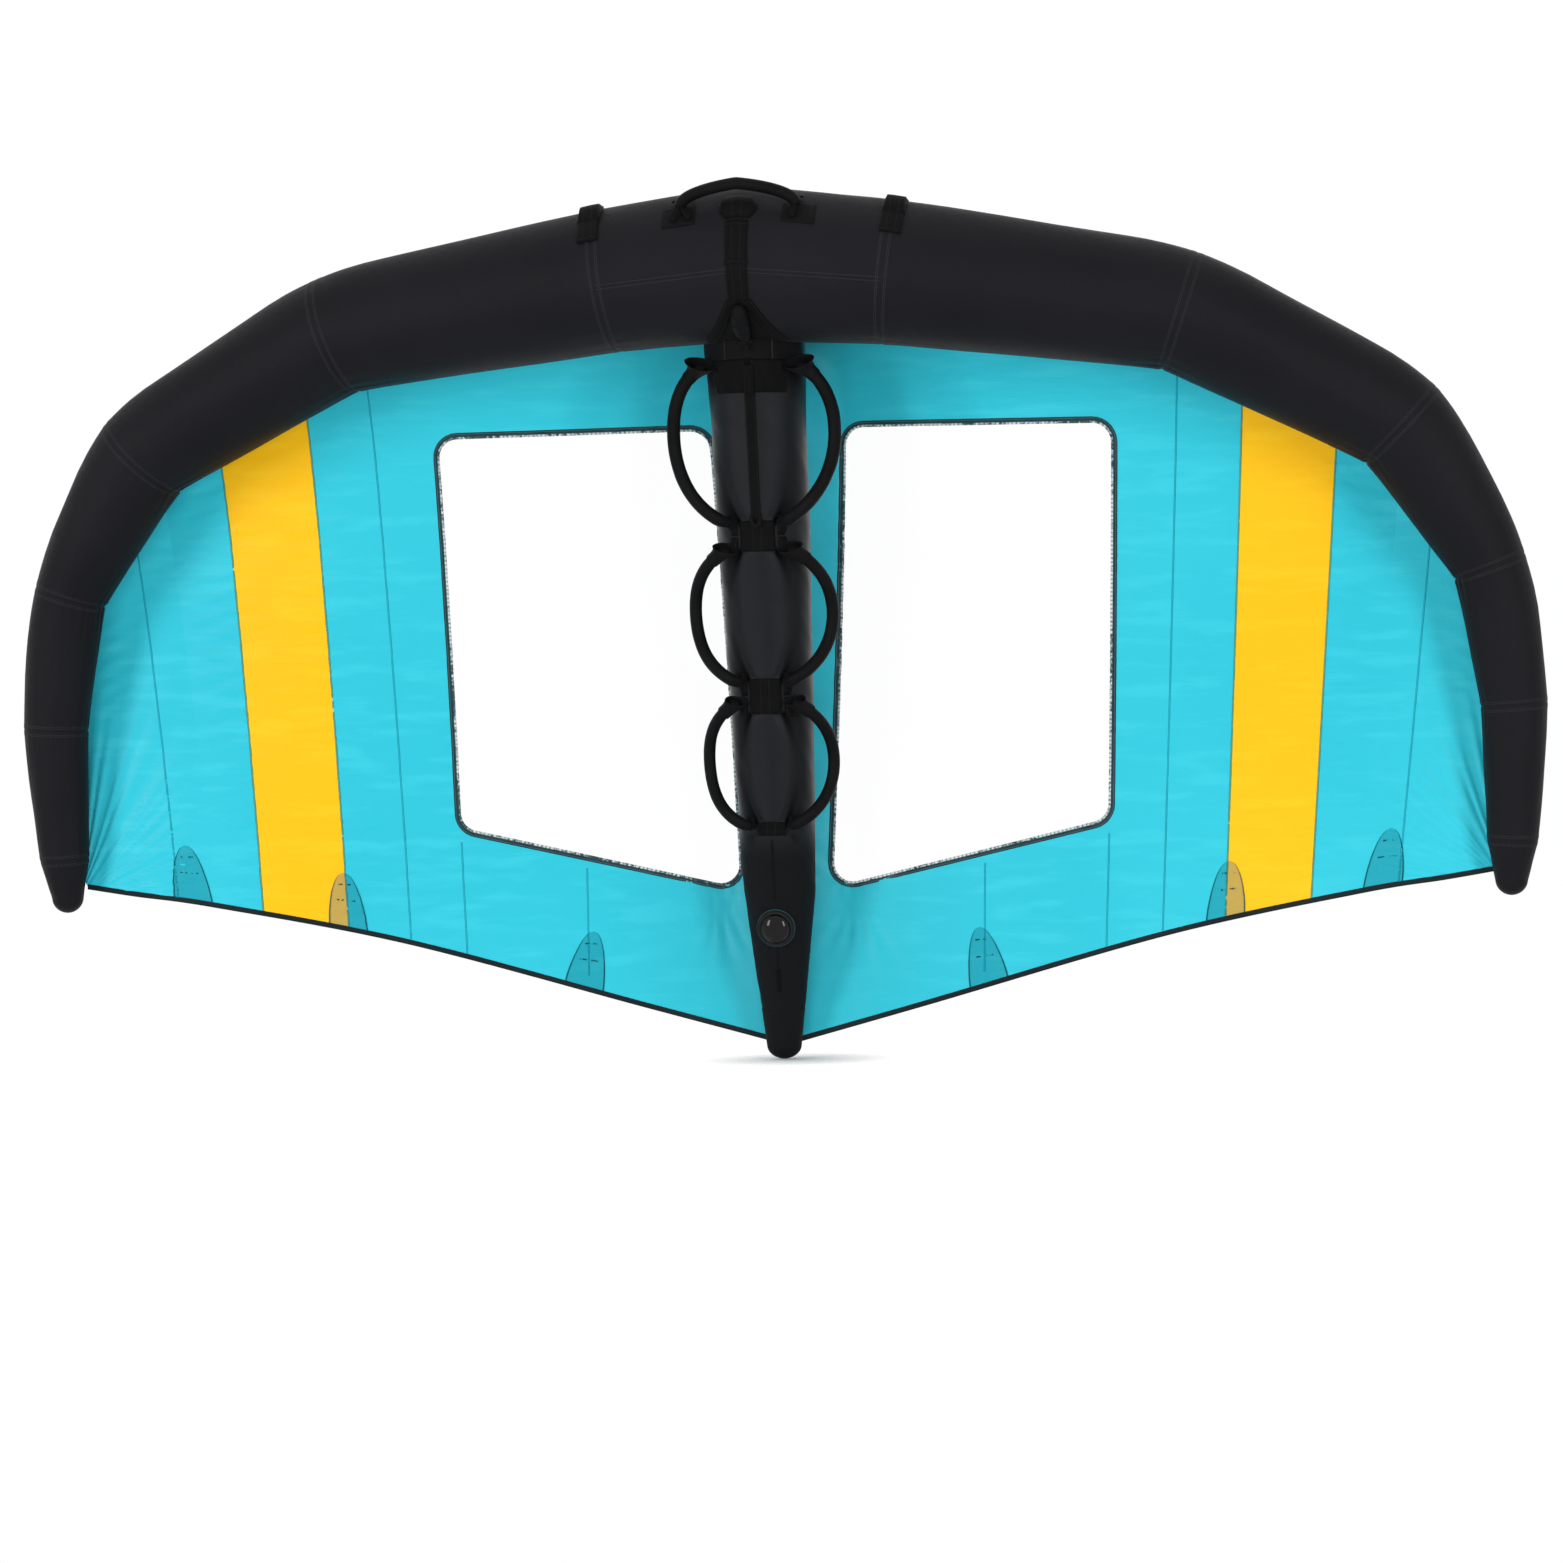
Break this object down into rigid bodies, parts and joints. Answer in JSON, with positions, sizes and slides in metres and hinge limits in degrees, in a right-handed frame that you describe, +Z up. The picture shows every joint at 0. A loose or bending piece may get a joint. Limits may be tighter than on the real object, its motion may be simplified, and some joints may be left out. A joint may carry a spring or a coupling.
{
  "type": "inflatable wingfoil wing",
  "caption": "Inflatable wingfoil wing with a segmented leading edge, centre strut with soft handles, arched canopy with clear windows, contrast bands and an inflation valve.",
  "frame": {"origin": "centre of the bounding box in x and y, at the height of the strut tail's lowest point", "axes": "+Z up from the strut's tail to the nose, +X across the span to the right as seen from the handle side, -Y towards the side with the handles"},
  "size_m": [3.2584, 0.5497, 1.8371],
  "materials": {
    "tube_cloth": "satin",
    "turquoise_cloth": "satin",
    "yellow_cloth": "satin",
    "clear_film": "gloss",
    "binding_tape": "matte",
    "patch_cloth": "satin",
    "bladder_film": "satin",
    "webbing": "matte",
    "grip_foam": "matte",
    "hose_rubber": "satin",
    "valve_plastic": "gloss",
    "spring_steel": "satin"
  },
  "bodies": {
    "wing": {"le_panel_centre": "tube_cloth", "le_panel_left_1": "tube_cloth", "le_panel_left_2": "tube_cloth", "le_panel_left_3": "tube_cloth", "le_panel_left_4": "tube_cloth", "le_panel_left_5": "tube_cloth", "le_panel_right_1": "tube_cloth", "le_panel_right_2": "tube_cloth", "le_panel_right_3": "tube_cloth", "le_panel_right_4": "tube_cloth", "le_panel_right_5": "tube_cloth", "le_tip_cap_left": "tube_cloth", "le_tip_cap_right": "tube_cloth", "strut_sleeve": "tube_cloth", "strut_tail_cap": "tube_cloth", "canopy_centre": "turquoise_cloth", "canopy_inner_tip_left": "turquoise_cloth", "canopy_inner_tip_right": "turquoise_cloth", "canopy_outer_tip_left": "turquoise_cloth", "canopy_outer_tip_right": "turquoise_cloth", "canopy_band_left": "yellow_cloth", "canopy_band_right": "yellow_cloth", "window_left": "clear_film", "window_right": "clear_film", "window_binding_left": "binding_tape", "window_binding_right": "binding_tape", "trailing_tape_left": "binding_tape", "trailing_tape_right": "binding_tape", "trailing_patch_left_1": "patch_cloth", "trailing_patch_left_2": "patch_cloth", "trailing_patch_left_3": "patch_cloth", "trailing_patch_right_1": "patch_cloth", "trailing_patch_right_2": "patch_cloth", "trailing_patch_right_3": "patch_cloth", "le_bladder": "bladder_film", "strut_bladder": "bladder_film", "nose_strap": "webbing", "nose_leash_loop": "webbing", "front_handle_patch_left": "webbing", "front_handle_patch_right": "webbing", "le_strap_loop_left": "webbing", "le_strap_loop_right": "webbing", "strut_collar": "webbing", "strut_band_1": "webbing", "strut_band_2": "webbing", "strut_band_3": "webbing", "strut_strap": "webbing", "one_pump_hose": "hose_rubber", "valve_base": "valve_plastic", "valve_spring": "spring_steel"},
    "front_grip": {"front_handle": "grip_foam"},
    "valve_poppet": {"valve_plunger": "valve_plastic"},
    "cap_tether": {"valve_tether_ring": "valve_plastic"},
    "cap": {"valve_cap": "valve_plastic"},
    "grip_left_1": {"handle_left_1": "grip_foam"},
    "grip_left_2": {"handle_left_2": "grip_foam"},
    "grip_left_3": {"handle_left_3": "grip_foam"},
    "grip_right_1": {"handle_right_1": "grip_foam"},
    "grip_right_2": {"handle_right_2": "grip_foam"},
    "grip_right_3": {"handle_right_3": "grip_foam"}
  },
  "joints": [
    {"name": "handle_left_1_swing", "type": "hinge", "parent": "wing", "child": "grip_left_1", "pos_m": [-0.1018, -0.0866, 1.476], "axis": [-0.148, -0.0682, 0.9866], "range_deg": [-25, 25], "stiffness_Nm_per_rad": 0.6},
    {"name": "handle_right_1_swing", "type": "hinge", "parent": "wing", "child": "grip_right_1", "pos_m": [0.1018, -0.0866, 1.476], "axis": [-0.148, 0.0682, -0.9866], "range_deg": [-25, 25], "stiffness_Nm_per_rad": 0.6},
    {"name": "handle_left_2_swing", "type": "hinge", "parent": "wing", "child": "grip_left_2", "pos_m": [-0.0709, -0.0403, 1.0939], "axis": [-0.0837, -0.1477, 0.9855], "range_deg": [-18, 35], "stiffness_Nm_per_rad": 0.6},
    {"name": "handle_right_2_swing", "type": "hinge", "parent": "wing", "child": "grip_right_2", "pos_m": [0.0709, -0.0403, 1.0939], "axis": [-0.0837, 0.1477, -0.9855], "range_deg": [-18, 35], "stiffness_Nm_per_rad": 0.6},
    {"name": "handle_left_3_swing", "type": "hinge", "parent": "wing", "child": "grip_left_3", "pos_m": [-0.0653, 0.0228, 0.7739], "axis": [-0.0813, -0.1265, 0.9886], "range_deg": [-12, 35], "stiffness_Nm_per_rad": 0.6},
    {"name": "handle_right_3_swing", "type": "hinge", "parent": "wing", "child": "grip_right_3", "pos_m": [0.0653, 0.0228, 0.7739], "axis": [-0.0813, 0.1265, -0.9886], "range_deg": [-12, 35], "stiffness_Nm_per_rad": 0.6},
    {"name": "front_handle_swing", "type": "hinge", "parent": "wing", "child": "front_grip", "pos_m": [-0.134, -0.2289, 1.7774], "axis": [1, 0, 0], "range_deg": [-35, 35], "stiffness_Nm_per_rad": 1.5},
    {"name": "valve_push", "type": "slide", "parent": "wing", "child": "valve_poppet", "axis": [0, 0.9773, 0.2119], "range_m": [0, 0.004], "stiffness_N_per_m": 150, "deforming": ["valve_spring"]},
    {"name": "tether_lift", "type": "slide", "parent": "wing", "child": "cap_tether", "axis": [0, -0.9773, -0.2119], "range_m": [0, 0.003]},
    {"name": "cap_turn", "type": "hinge", "parent": "cap_tether", "child": "cap", "pos_m": [0, 0.09429, 0.28207], "axis": [0, -0.9773, -0.2119], "range_deg": [0, 360]}
  ],
  "couplings": [
    {"joint": "cap_turn", "follows": "tether_lift", "rad_per_m": 2094}
  ]
}
